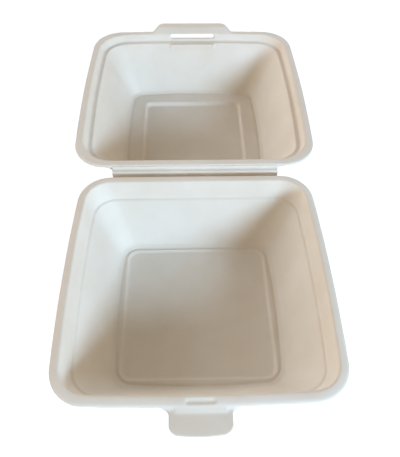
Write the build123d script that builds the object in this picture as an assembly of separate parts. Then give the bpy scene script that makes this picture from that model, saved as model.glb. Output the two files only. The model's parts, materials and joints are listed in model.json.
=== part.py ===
from build123d import *
import os

# A hinged-lid food box moulded as one foam sheet, standing open and flat on a table.
# Millimetres, +Z up, +Y from the base towards the lid. The origin is the middle of the
# flat foot under the base.

# Foam sheet
wall = 2.0
floor_fillet = 3.0

# Base tray. Half sizes are taken at the corners, and a bow is what a side gains at its middle
rim_half = 67.3
rim_bow = 2.0
rim_radius = 18.2
rim_band = 4.5
rim_rounding = 0.8
base_depth = 41.0
shoulder_depth = 10.2
shoulder_inset = 2.7
shoulder_step = 0.9
shoulder_drop = 0.6
shoulder_radius = 13.0
floor_half = 45.2
floor_radius = 9.5
floor_ring = 3.2
floor_step = 1.0
floor_run = 1.2

# Lid: brim, recess that takes the base's rim, cavity and top panel
brim_overhang = 6.9
brim_bow = 2.2
brim_radius = 21.5
brim_rounding = 0.8
recess_depth = 5.0
recess_run = 1.9
ledge_width = 3.1
ledge_radius = 15.5
lid_rise = 1.0
ceiling_half = 48.6
ceiling_radius = 9.0
panel_half = 37.5
panel_radius = 4.0
panel_step = 2.8
panel_run = 1.4

# How the lid's recess takes the rim when the box is shut
rim_clearance = 0.4
seat_clearance = 0.3

# Tongue on the base's front edge, with a ridge that locks it in the slot
tongue_width = 28.0
tongue_length = 12.0
tongue_flare = 3.0
tongue_corner = 4.5
tongue_thickness = 1.8
tongue_drop = 1.6
ridge_width = 23.0
ridge_radius = 0.9
dimple_width = 13.0
dimple_length = 2.2
dimple_depth = 0.9

# Slot in the far side of the lid's recess, and the bay moulded below it
slot_clearance = 3.0
slot_height = 2.8
slot_top = 0.6
bay_reach = 2.4

# Finger lip beyond the slot
lip_root_half = 31.5
lip_tip_half = 24.5
lip_reach = 6.2
lip_rise = 2.8
lip_run = 5.0
lip_corner = 4.0

# Living hinge: a shelf behind the base's rim and a thin web with one bead
hinge_half = 50.3
hinge_gap = 0.7
shelf_reach = 3.2
shelf_clearance = 0.4
shelf_thickness = 1.6
web_thickness = 0.8
web_lead = 0.8
web_bead = 0.4

# Levels and places worked out from the sizes above
brim_half = rim_half + brim_overhang
rim_z = base_depth + wall
brim_z = rim_z + lid_rise
recess_half = rim_half + rim_clearance
crest_half = recess_half + recess_run
ledge_half = recess_half - ledge_width
axis_y = brim_half + hinge_gap
lid_y = 2 * axis_y
closed_brim_z = rim_z + seat_clearance - recess_depth
shelf_z = closed_brim_z - shelf_clearance
front_y = -(rim_half + rim_bow)


def outline(half, radius, bow, z):
    """Rounded square round the Z axis, bowed on every side but the one at +Y."""
    front = ThreePointArc((-half, -half), (0, -half - bow), (half, -half))
    right = ThreePointArc((half, -half), (half + bow, 0), (half, half))
    back = Line((half, half), (-half, half))
    left = ThreePointArc((-half, half), (-half - bow, 0), (-half, -half))
    face = make_face([front, right, back, left])
    return Pos(0, 0, z) * fillet(face.vertices(), radius)


def tapered(bow, *stations):
    """Solid through outlines given as (half size, corner radius, height)."""
    return loft([outline(half, radius, bow, z) for half, radius, z in stations], ruled=True)


def stepped_panel(half, radius, z, step, run):
    """Flat panel one step below the level z, with sides that slope in by run."""
    top = RectangleRounded(2 * half, 2 * half, radius)
    bottom = RectangleRounded(2 * (half - run), 2 * (half - run), radius)
    return loft([Pos(0, 0, z) * top, Pos(0, 0, z - step) * bottom], ruled=True)


def round_bottom(solid, radius):
    """Fillet the edges round the solid's lowest face."""
    return fillet(solid.edges().group_by(Axis.Z)[0], radius)


def edges_at(solid, z):
    """Edges that lie flat at the height z."""
    return solid.edges().filter_by_position(Axis.Z, z - 0.001, z + 0.001)


def side_profile(half_width, points):
    """Prism with a (Y, Z) outline, centred on X."""
    face = make_face(Plane.YZ * Polyline(*points, close=True))
    return extrude(face, half_width, both=True)


def base_form(grow, drop):
    """Inside of the tray, or its outside when grown by a wall and dropped by one."""
    mouth = rim_half - rim_band
    shoulder = mouth - shoulder_inset
    ring_z = wall + floor_step - drop
    form = tapered(
        rim_bow,
        (mouth + grow, rim_radius - rim_band + grow, rim_z),
        (shoulder + grow, shoulder_radius + grow, rim_z - shoulder_depth),
        (shoulder - shoulder_step + grow, shoulder_radius + grow,
         rim_z - shoulder_depth - shoulder_drop),
        (floor_half + grow, floor_radius + grow, ring_z),
    )
    form = round_bottom(form, floor_fillet + grow)
    return form + stepped_panel(
        floor_half - floor_ring, floor_radius - floor_ring, ring_z, floor_step, floor_run)


def tongue():
    """Flat tongue with flared root and rounded corners, a step below the rim."""
    root = tongue_width / 2 + tongue_flare
    side = tongue_width / 2
    tip_y = front_y - tongue_length
    inner_y = front_y + rim_band / 2
    plan = make_face(Polyline(
        (-root, inner_y), (-root, front_y), (-side, front_y - tongue_flare), (-side, tip_y),
        (side, tip_y), (side, front_y - tongue_flare), (root, front_y), (root, inner_y),
        close=True,
    ))
    tip_corners = plan.vertices().group_by(Axis.Y)[0]
    plan = fillet(tip_corners, tongue_corner)
    top_z = rim_z - tongue_drop
    body = extrude(Pos(0, 0, top_z - tongue_thickness) * plan, tongue_thickness)
    ridge = Pos(0, front_y - ridge_radius, top_z) * Rot(0, 90, 0) * Cylinder(
        ridge_radius, ridge_width)
    return body + ridge


def hinge_shelf():
    """Angle behind the rim: a leg under its edge and a shelf that the web starts from."""
    return side_profile(hinge_half, (
        (rim_half - shelf_thickness, rim_z - wall / 2),
        (rim_half, rim_z - wall / 2),
        (rim_half, shelf_z),
        (rim_half + shelf_reach, shelf_z),
        (rim_half + shelf_reach, shelf_z - shelf_thickness),
        (rim_half - shelf_thickness, shelf_z - shelf_thickness),
    ))


def base_tray():
    """Tray with rim, tongue and the shelf that carries the hinge."""
    body = base_form(wall, wall)
    body += extrude(outline(rim_half, rim_radius, rim_bow, rim_z - wall), wall)
    body -= base_form(0, 0)
    body = fillet(edges_at(body, rim_z), rim_rounding)
    body += tongue() + hinge_shelf()
    dimple = Pos(0, front_y + rim_band / 2, rim_z) * Box(
        dimple_width, dimple_length, 2 * dimple_depth)
    return body - dimple


def lid_recess(grow, drop):
    """Shallow tapered pocket that takes the base's rim."""
    return tapered(
        brim_bow,
        (crest_half + grow, rim_radius + rim_clearance + recess_run + grow, brim_z),
        (recess_half + grow, rim_radius + rim_clearance + grow, brim_z - recess_depth - drop),
    )


def lid_cavity(grow, drop):
    """Tapered cavity below the recess, with the stepped panel."""
    ring_z = wall + panel_step - drop
    form = tapered(
        brim_bow,
        (ledge_half + grow, ledge_radius + grow, brim_z - recess_depth),
        (ceiling_half + grow, ceiling_radius + grow, ring_z),
    )
    form = round_bottom(form, floor_fillet + grow)
    return form + stepped_panel(panel_half, panel_radius, ring_z, panel_step, panel_run)


def lip_pad(shift):
    """Space under the raised part of the far brim; shifted by a wall, its underside."""
    near = -crest_half - brim_bow - shift
    far = -brim_half - brim_bow - 2 * lip_reach
    low = trapezoid(lip_root_half, near, lip_root_half, far)
    side = lip_root_half - lip_run
    high = trapezoid(side, near - lip_run, side, far)
    low_z = brim_z - shift
    return loft([Pos(0, 0, low_z) * low, Pos(0, 0, low_z + lip_rise) * high], ruled=True)


def trapezoid(near_half, near_y, far_half, far_y):
    """Flat face between two Y positions, centred on X."""
    return make_face(Polyline(
        (-near_half, near_y), (near_half, near_y), (far_half, far_y), (-far_half, far_y),
        close=True))


def lip_plan():
    """Outline of the lip seen from above, as a tall prism."""
    tip_y = -brim_half - brim_bow - lip_reach
    plan = trapezoid(lip_root_half, -brim_half, lip_tip_half, tip_y)
    plan = fillet(plan.vertices().group_by(Axis.Y)[0], lip_corner)
    plan += trapezoid(lip_root_half, -recess_half, lip_root_half, -brim_half)
    return extrude(Pos(0, 0, brim_z - wall) * plan, wall + lip_rise)


def slot_bay(half_width):
    """Wider ledge under the slot, with an upright front that runs into the wall."""
    edge = -ledge_half - brim_bow
    ledge_z = brim_z - recess_depth
    lean = (ledge_half - ceiling_half) / (ledge_z - wall - panel_step)
    return side_profile(half_width, (
        (edge, ledge_z), (edge + bay_reach, ledge_z),
        (edge + bay_reach, ledge_z - bay_reach / lean),
    ))


def lid():
    """Lid lying open with its mouth up, drawn with its hinge at +Y and then turned about."""
    body = extrude(outline(brim_half, brim_radius, brim_bow, brim_z - wall), wall)
    body += lid_recess(wall, wall) + lid_cavity(wall, wall)
    body -= lid_recess(0, 0) + lid_cavity(0, 0)
    body = fillet(edges_at(body, brim_z), brim_rounding)
    body += lip_pad(0) & lip_plan()
    body -= lip_pad(wall)
    slot_half = tongue_width / 2 + slot_clearance
    body += slot_bay(slot_half)
    slot_y = -recess_half - brim_bow - wall / 2
    body -= Pos(0, slot_y, brim_z - slot_top - slot_height / 2) * Box(
        2 * slot_half, 3 * wall, slot_height)
    return Pos(0, lid_y, 0) * Rot(0, 0, 180) * body


def web_line(depth):
    """Line of the web's top, or of a face that deep below it: level, valley, bead, valley, level."""
    low = Vector(rim_half + shelf_reach, shelf_z - (shelf_thickness - web_thickness) / 2 - depth)
    high = Vector(lid_y - brim_half, brim_z - (wall - web_thickness) / 2 - depth)
    foot = low + Vector(web_lead + depth / 2, 0)
    head = high - Vector(web_lead - depth / 2, 0)
    third = (head - foot) / 3
    outward = Vector(-third.Y, third.X).normalized() * web_bead
    bends = []
    for number, side in enumerate((-1, 1, -1)):
        start = foot + third * number
        bends.append(ThreePointArc(start, start + third / 2 + outward * side, start + third))
    return [Line(low, foot), *bends, Line(head, high)]


def hinge_web():
    """Thin web that climbs from the shelf to the lid's brim, with a bead between two valleys."""
    top = web_line(0)
    under = web_line(web_thickness)
    ends = [Line(top[0] @ 0, under[0] @ 0), Line(top[-1] @ 1, under[-1] @ 1)]
    section = make_face([*top, *under, *ends])
    return Pos(-hinge_half, 0, 0) * extrude(Plane.YZ * section, 2 * hinge_half)


os.makedirs("parts", exist_ok=True)
export_step(base_tray(), "parts/base_tray.step")
export_step(hinge_web(), "parts/hinge_web.step")
export_step(lid(), "parts/lid.step")
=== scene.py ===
import json
from math import exp, pi, radians, sin

import bpy
from mathutils import Matrix, Vector

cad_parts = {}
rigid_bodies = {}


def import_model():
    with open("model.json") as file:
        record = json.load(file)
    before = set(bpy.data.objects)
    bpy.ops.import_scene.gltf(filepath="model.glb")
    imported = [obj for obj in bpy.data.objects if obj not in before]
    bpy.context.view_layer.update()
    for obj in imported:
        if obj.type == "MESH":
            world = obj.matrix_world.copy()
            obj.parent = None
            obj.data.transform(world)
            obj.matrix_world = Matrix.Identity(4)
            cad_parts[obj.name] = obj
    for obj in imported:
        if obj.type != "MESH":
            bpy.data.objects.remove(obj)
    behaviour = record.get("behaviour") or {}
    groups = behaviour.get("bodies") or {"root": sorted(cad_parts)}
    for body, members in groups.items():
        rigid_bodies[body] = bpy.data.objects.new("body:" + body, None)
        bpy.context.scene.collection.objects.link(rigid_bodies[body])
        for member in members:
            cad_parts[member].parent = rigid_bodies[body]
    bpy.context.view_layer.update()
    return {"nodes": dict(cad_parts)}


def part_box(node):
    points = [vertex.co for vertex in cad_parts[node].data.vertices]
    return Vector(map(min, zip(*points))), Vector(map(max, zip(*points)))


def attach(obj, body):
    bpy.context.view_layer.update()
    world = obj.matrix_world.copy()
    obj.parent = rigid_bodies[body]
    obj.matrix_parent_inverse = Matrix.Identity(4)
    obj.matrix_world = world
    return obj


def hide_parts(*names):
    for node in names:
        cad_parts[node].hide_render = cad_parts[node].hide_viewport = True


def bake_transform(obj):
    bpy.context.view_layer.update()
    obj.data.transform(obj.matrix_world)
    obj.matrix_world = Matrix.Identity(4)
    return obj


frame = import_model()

bpy.ops.object.select_all(action="DESELECT")

# Camera: stands in front of the box, as a person does who looks down into it, and sees both
# halves. The place, tilt and lens were worked out from the rims in the photograph.
IMAGE_HEIGHT = 457
FOCAL_PIXELS = 499.0
SENSOR_WIDTH = 36
NEAREST_SEEN = 0.01
CAMERA_PLACE = Vector((-0.0038, -0.1417, 0.2575))
CAMERA_PITCH = radians(51.75)
CAMERA_YAW = radians(1.9)
CAMERA_ROLL = radians(0.78)

bpy.ops.object.camera_add(location=CAMERA_PLACE)
camera = bpy.context.object
camera.rotation_euler = (
    Matrix.Rotation(-CAMERA_YAW, 3, "Z")
    @ Matrix.Rotation(radians(90) - CAMERA_PITCH, 3, "X")
    @ Matrix.Rotation(CAMERA_ROLL, 3, "Z")
).to_euler()
camera.data.sensor_width = SENSOR_WIDTH
camera.data.lens = FOCAL_PIXELS / IMAGE_HEIGHT * SENSOR_WIDTH
camera.data.clip_start = NEAREST_SEEN
bpy.context.scene.camera = camera
bpy.context.scene.view_settings.view_transform = "Standard"

# Lamps: a soft, cool key low in front and to the right, which fills the walls that face it and
# leaves the near part of each floor in the shade of the rim, a weaker one from the left, and a
# low, weak one from behind for the outsides of the walls there.
LAMP_DISTANCE = 1.5
LAMP_AIM = Vector((0.0, 0.075, 0.03))


def add_lamp(name, travel, size, power, color):
    """Round soft lamp whose light travels the way that is given, towards the box."""
    direction = Vector(travel).normalized()
    bpy.ops.object.light_add(type="AREA", location=LAMP_AIM - direction * LAMP_DISTANCE)
    lamp = bpy.context.object
    lamp.name = name
    lamp.rotation_euler = direction.to_track_quat("-Z", "Y").to_euler()
    lamp.data.shape = "DISK"
    lamp.data.size = size
    lamp.data.energy = power
    lamp.data.color = color


add_lamp("key_lamp", travel=(-1.3, 1.8, -0.85), size=0.42, power=21.0, color=(0.53, 0.76, 1.0))
add_lamp("fill_lamp", travel=(1.5, -0.5, -0.6), size=1.2, power=10.5, color=(0.95, 0.94, 1.0))
add_lamp("back_lamp", travel=(-0.5, -1.8, -0.45), size=1.2, power=6.0, color=(0.7, 0.84, 1.0))

# World: a dim, warm room light for the shades, brighter near the horizon than overhead. The
# camera, gloss and glass see it as white.
ROOM_COLOR = (1.0, 0.74, 0.44, 1)
ROOM_AT_HORIZON = 0.8
ROOM_OVERHEAD = 0.16
OVERHEAD_FROM = 0.9
WHITE = (1, 1, 1, 1)


def seen_directly(tree):
    """Socket that is 1 for the camera, gloss and glass, and 0 for light that only falls."""
    path = tree.nodes.new("ShaderNodeLightPath")
    seen = path.outputs["Is Camera Ray"]
    for ray in ("Is Glossy Ray", "Is Transmission Ray"):
        either = tree.nodes.new("ShaderNodeMath")
        either.operation = "MAXIMUM"
        tree.links.new(seen, either.inputs[0])
        tree.links.new(path.outputs[ray], either.inputs[1])
        seen = either.outputs["Value"]
    return seen


world = bpy.data.worlds.new("room_light")
bpy.context.scene.world = world
world.use_nodes = True
nodes = world.node_tree.nodes
links = world.node_tree.links
nodes.clear()
room = nodes.new("ShaderNodeBackground")
room.inputs["Color"].default_value = ROOM_COLOR
heading = nodes.new("ShaderNodeTexCoord")
height = nodes.new("ShaderNodeSeparateXYZ")
dimming = nodes.new("ShaderNodeMapRange")
dimming.inputs["From Min"].default_value = 0.0
dimming.inputs["From Max"].default_value = OVERHEAD_FROM
dimming.inputs["To Min"].default_value = ROOM_AT_HORIZON
dimming.inputs["To Max"].default_value = ROOM_OVERHEAD
links.new(heading.outputs["Generated"], height.inputs["Vector"])
links.new(height.outputs["Z"], dimming.inputs["Value"])
links.new(dimming.outputs["Result"], room.inputs["Strength"])
white = nodes.new("ShaderNodeBackground")
white.inputs["Color"].default_value = WHITE
mix = nodes.new("ShaderNodeMixShader")
out = nodes.new("ShaderNodeOutputWorld")
links.new(seen_directly(world.node_tree), mix.inputs["Fac"])
links.new(room.outputs["Background"], mix.inputs[1])
links.new(white.outputs["Background"], mix.inputs[2])
links.new(mix.outputs["Shader"], out.inputs["Surface"])

# Floor: a plain white sheet of board under the box. It is lifted to white for the camera, and
# keeps the box's soft shadow.
FLOOR_SIZE = 8
BOARD_COLOR = (0.78, 0.84, 0.92, 1)
LIFT_COLOR = (0.76, 0.85, 1.0, 1)
LIFT_STRENGTH = 0.79

bpy.ops.mesh.primitive_plane_add(size=FLOOR_SIZE)
floor = bpy.context.object
floor.name = "floor"
floor_finish = bpy.data.materials.new("floor_board")
floor_finish.use_nodes = True
nodes = floor_finish.node_tree.nodes
links = floor_finish.node_tree.links
nodes.clear()
board = nodes.new("ShaderNodeBsdfDiffuse")
board.inputs["Color"].default_value = BOARD_COLOR
lift = nodes.new("ShaderNodeEmission")
lift.inputs["Color"].default_value = LIFT_COLOR
lift_part = nodes.new("ShaderNodeMath")
lift_part.operation = "MULTIPLY"
lift_part.inputs[1].default_value = LIFT_STRENGTH
links.new(seen_directly(floor_finish.node_tree), lift_part.inputs[0])
links.new(lift_part.outputs["Value"], lift.inputs["Strength"])
both = nodes.new("ShaderNodeAddShader")
out = nodes.new("ShaderNodeOutputMaterial")
links.new(board.outputs["BSDF"], both.inputs[0])
links.new(lift.outputs["Emission"], both.inputs[1])
links.new(both.outputs["Shader"], out.inputs["Surface"])
floor.data.materials.append(floor_finish)

# Base tray: the lower half of the box, pressed out of a warm sheet of cream foam, in one with
# the lid. Its edges are all soft, its rim turns down a little towards the outside, a channel
# runs round its floor, and the tongue that locks the box grows out of its rim in front.
FOAM_SHADE = (0.82, 0.77, 0.69, 1)
FOAM_LIGHT = (0.88, 0.84, 0.775, 1)
FOAM_SHADE_AT = 0.3
FOAM_LIGHT_AT = 0.72
FOAM_GLOSS = 0.28
CLOUD_SCALE = 38
CLOUD_DETAIL = 4
CLOUD_RANGE = (0.3, 0.7)
ROUGHNESS_RANGE = (0.54, 0.7)
BEAD_SCALE = 900
BEAD_STRENGTH = 0.12
BEAD_HEIGHT = 0.0002
GRAIN_SCALE = 420
GRAIN_DETAIL = 3
GRAIN_STRENGTH = 0.2
GRAIN_HEIGHT = 0.0003

foam = bpy.data.materials.new("moulded_foam")
foam.use_nodes = True
nodes = foam.node_tree.nodes
links = foam.node_tree.links
skin = nodes["Principled BSDF"]
skin.inputs["Specular IOR Level"].default_value = FOAM_GLOSS
place = nodes.new("ShaderNodeTexCoord")

clouds = nodes.new("ShaderNodeTexNoise")
clouds.inputs["Scale"].default_value = CLOUD_SCALE
clouds.inputs["Detail"].default_value = CLOUD_DETAIL
links.new(place.outputs["Object"], clouds.inputs["Vector"])
tones = nodes.new("ShaderNodeValToRGB")
for stop, position, color in zip(
    tones.color_ramp.elements, (FOAM_SHADE_AT, FOAM_LIGHT_AT), (FOAM_SHADE, FOAM_LIGHT)
):
    stop.position = position
    stop.color = color
links.new(clouds.outputs["Fac"], tones.inputs["Fac"])
links.new(tones.outputs["Color"], skin.inputs["Base Color"])
matt = nodes.new("ShaderNodeMapRange")
matt.inputs["From Min"].default_value, matt.inputs["From Max"].default_value = CLOUD_RANGE
matt.inputs["To Min"].default_value, matt.inputs["To Max"].default_value = ROUGHNESS_RANGE
links.new(clouds.outputs["Fac"], matt.inputs["Value"])
links.new(matt.outputs["Result"], skin.inputs["Roughness"])

beads = nodes.new("ShaderNodeTexVoronoi")
beads.inputs["Scale"].default_value = BEAD_SCALE
links.new(place.outputs["Object"], beads.inputs["Vector"])
bead_bump = nodes.new("ShaderNodeBump")
bead_bump.inputs["Strength"].default_value = BEAD_STRENGTH
bead_bump.inputs["Distance"].default_value = BEAD_HEIGHT
links.new(beads.outputs["Distance"], bead_bump.inputs["Height"])
grain = nodes.new("ShaderNodeTexNoise")
grain.inputs["Scale"].default_value = GRAIN_SCALE
grain.inputs["Detail"].default_value = GRAIN_DETAIL
links.new(place.outputs["Object"], grain.inputs["Vector"])
grain_bump = nodes.new("ShaderNodeBump")
grain_bump.inputs["Strength"].default_value = GRAIN_STRENGTH
grain_bump.inputs["Distance"].default_value = GRAIN_HEIGHT
links.new(grain.outputs["Fac"], grain_bump.inputs["Height"])
links.new(bead_bump.outputs["Normal"], grain_bump.inputs["Normal"])
links.new(grain_bump.outputs["Normal"], skin.inputs["Normal"])

SAME_POINT = 0.000005
CELL = 0.0006
SOFTEN_STEPS = 1
SOFTEN_FACTOR = 0.5
TRIANGLES = 185000


def apply_smooth(piece, steps, group=""):
    """Ease the bends of a piece, or of one group of its vertices."""
    soft = piece.modifiers.new("soft", "SMOOTH")
    soft.vertex_group = group
    soft.iterations = steps
    soft.factor = SOFTEN_FACTOR
    bpy.context.view_layer.objects.active = piece
    bpy.ops.object.modifier_apply(modifier=soft.name)


def pressed_copy(node, name, cell=CELL):
    """Copy of a solid of the box with soft edges, as foam has them."""
    bpy.ops.object.select_all(action="DESELECT")
    source = frame["nodes"][node]
    source.select_set(True)
    bpy.context.view_layer.objects.active = source
    bpy.ops.object.duplicate()
    bpy.ops.object.parent_clear(type="CLEAR_KEEP_TRANSFORM")
    piece = bpy.context.object
    piece.name = name
    bpy.ops.object.mode_set(mode="EDIT")
    bpy.ops.mesh.select_all(action="SELECT")
    bpy.ops.mesh.remove_doubles(threshold=SAME_POINT)
    bpy.ops.object.mode_set(mode="OBJECT")
    remesh = piece.modifiers.new("cells", "REMESH")
    remesh.mode = "VOXEL"
    remesh.voxel_size = cell
    bpy.ops.object.modifier_apply(modifier=remesh.name)
    apply_smooth(piece, SOFTEN_STEPS)
    piece.data.materials.clear()
    piece.data.materials.append(foam)
    bpy.ops.object.shade_smooth()
    return piece


def thin_out(piece):
    """Take out the triangles that the flat parts don't need."""
    bpy.ops.object.select_all(action="DESELECT")
    piece.select_set(True)
    bpy.context.view_layer.objects.active = piece
    thinner = piece.modifiers.new("thinner", "DECIMATE")
    thinner.ratio = TRIANGLES / (2 * len(piece.data.polygons))
    bpy.ops.object.modifier_apply(modifier=thinner.name)


def keep_inside(piece, node):
    """Press back what stands out of the moulded size."""
    low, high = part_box(node)
    for vertex in piece.data.vertices:
        for axis in range(3):
            vertex.co[axis] = min(max(vertex.co[axis], low[axis]), high[axis])


def inside_depth(x, y, half, bow, corner):
    """How far a point lies inside a rounded square whose sides bow out, all but the one at +Y."""
    bow_x = bow * (1 - min(abs(y) / half, 1) ** 2)
    bow_y = bow * (1 - min(abs(x) / half, 1) ** 2) if y < 0 else 0
    over_x = abs(x) - (half + bow_x - corner)
    over_y = abs(y) - (half + bow_y - corner)
    round_part = (max(over_x, 0) ** 2 + max(over_y, 0) ** 2) ** 0.5
    return corner - round_part - min(max(over_x, over_y), 0)


CHANNEL_DEPTH = 0.0006
CHANNEL_SPREAD = 0.0009


def press_channel(piece, middle_y, turn, half, bow, corner, low_z, high_z):
    """Press a shallow channel into the inside of a floor, where its wall begins."""
    for vertex in piece.data.vertices:
        x, y, z = vertex.co
        if low_z < z < high_z:
            off = inside_depth(x, (y - middle_y) * turn, half, bow, corner)
            vertex.co.z -= CHANNEL_DEPTH * exp(-((off / CHANNEL_SPREAD) ** 2))


base_piece = pressed_copy("base_tray", "base_shell")

# The rim's turn-down fades out towards the hinge
RIM_OUTER = 0.0673
RIM_BOW = 0.002
RIM_CORNER = 0.0182
RIM_BAND = 0.0045
RIM_DROP = 0.0009
RIM_DROP_CURVE = 1.5
RIM_FURTHEST_OUT = 1.3
RIM_FREE_UNDER = 0.0385
RIM_FREE_RUN = 0.0025
HINGE_SIDE = 0.0665
HINGE_FADE = 0.015

for vertex in base_piece.data.vertices:
    x, y, z = vertex.co
    outward = 1 - inside_depth(x, y, RIM_OUTER, RIM_BOW, RIM_CORNER) / RIM_BAND
    if 0 < outward and z > RIM_FREE_UNDER and y < HINGE_SIDE:
        part_way = min((z - RIM_FREE_UNDER) / RIM_FREE_RUN, 1)
        part_way *= min((HINGE_SIDE - y) / HINGE_FADE, 1)
        vertex.co.z -= RIM_DROP * min(outward, RIM_FURTHEST_OUT) ** RIM_DROP_CURVE * part_way

press_channel(
    base_piece, middle_y=0, turn=1, half=0.0434, bow=RIM_BOW, corner=0.0078,
    low_z=0.0022, high_z=0.005)

# A narrow line in the inside of the walls, under the shoulder
SHOULDER_LINE = 0.0321
SHOULDER_SPREAD = 0.0006
SHOULDER_REACH = 3
SHOULDER_PRESS = 0.0008
FACES_INWARD = 0.3

near_line = []
for vertex in base_piece.data.vertices:
    above = (vertex.co.z - SHOULDER_LINE) / SHOULDER_SPREAD
    if abs(above) < SHOULDER_REACH:
        near_line.append((vertex.index, above, vertex.normal.copy()))
for number, above, normal in near_line:
    spot = base_piece.data.vertices[number].co
    inward = Vector((-spot.x, -spot.y, 0)).normalized()
    if normal.dot(inward) > FACES_INWARD:
        vertex = base_piece.data.vertices[number]
        vertex.co = spot - normal * SHOULDER_PRESS * exp(-(above ** 2))

# The tongue's sides flow into the rim, its tip is bowed, and the dimple behind it is soft
TONGUE_FRONT = -0.0693
TONGUE_HALF = 0.014
TONGUE_FLARE = 0.003
TONGUE_REACH = 0.012
TONGUE_TIP_BOW = 0.0012
FRONT_SOFTEN_STEPS = 5

front_part = base_piece.vertex_groups.new(name="front_part")
soft_numbers = []
for vertex in base_piece.data.vertices:
    x, y, z = vertex.co
    if y < TONGUE_FRONT:
        out_part = min((TONGUE_FRONT - y) / TONGUE_REACH, 1)
        extra = abs(x) - TONGUE_HALF
        if extra > 0:
            vertex.co.x -= (extra - extra ** 2 / TONGUE_FLARE) * (1 if x > 0 else -1)
        vertex.co.y += TONGUE_TIP_BOW * out_part * (x / TONGUE_HALF) ** 2
    if y < TONGUE_FRONT + RIM_BAND and abs(x) < TONGUE_HALF + 2 * TONGUE_FLARE:
        soft_numbers.append(vertex.index)
front_part.add(soft_numbers, 1.0, "REPLACE")
apply_smooth(base_piece, FRONT_SOFTEN_STEPS, front_part.name)
base_piece.vertex_groups.clear()

thin_out(base_piece)
keep_inside(base_piece, "base_tray")
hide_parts("base_tray")
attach(base_piece, "base")

# Lid: the upper half, pressed from the same cream foam sheet and lying open on its top. A
# shallow recess inside its brim takes the base's rim, and the slot at its far side takes the
# tongue. A channel runs round its ceiling, where the walls begin.
LID_MIDDLE = 0.1498
LID_BOW = 0.0022

lid_piece = pressed_copy("lid", "lid_shell")
press_channel(
    lid_piece, middle_y=LID_MIDDLE, turn=-1, half=0.0467, bow=LID_BOW, corner=0.0075,
    low_z=0.004, high_z=0.0068)
thin_out(lid_piece)
keep_inside(lid_piece, "lid")
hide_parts("lid")
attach(lid_piece, "lid")

# Hinge web: the strip of the same sheet that joins the halves, pressed thin between the base's
# shelf and the lid's brim. Its creases are two valleys with a bead between them. Both its ends
# run on a little into the halves.
WEB_CELL = 0.00025
WEB_FIXED_BASE = 0.0709
WEB_FIXED_LID = 0.0752
WEB_ROOT = 0.0004
WEB_RISE = 0.0055
CREASES = 3
CREASE_DEPTH = 0.00035

web_piece = pressed_copy("hinge_web", "hinge_strip", WEB_CELL)
across = Vector((0, WEB_FIXED_LID - WEB_FIXED_BASE, WEB_RISE))
out_of_web = Vector((0, -across.z, across.y)).normalized()
for vertex in web_piece.data.vertices:
    part_way = (vertex.co.y - WEB_FIXED_BASE) / across.y
    if 0 < part_way < 1:
        vertex.co -= out_of_web * CREASE_DEPTH * sin(CREASES * pi * part_way)
    if vertex.co.y < WEB_FIXED_BASE:
        vertex.co.y -= WEB_ROOT
    if vertex.co.y > WEB_FIXED_LID:
        vertex.co.y += WEB_ROOT
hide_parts("hinge_web")
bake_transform(web_piece)
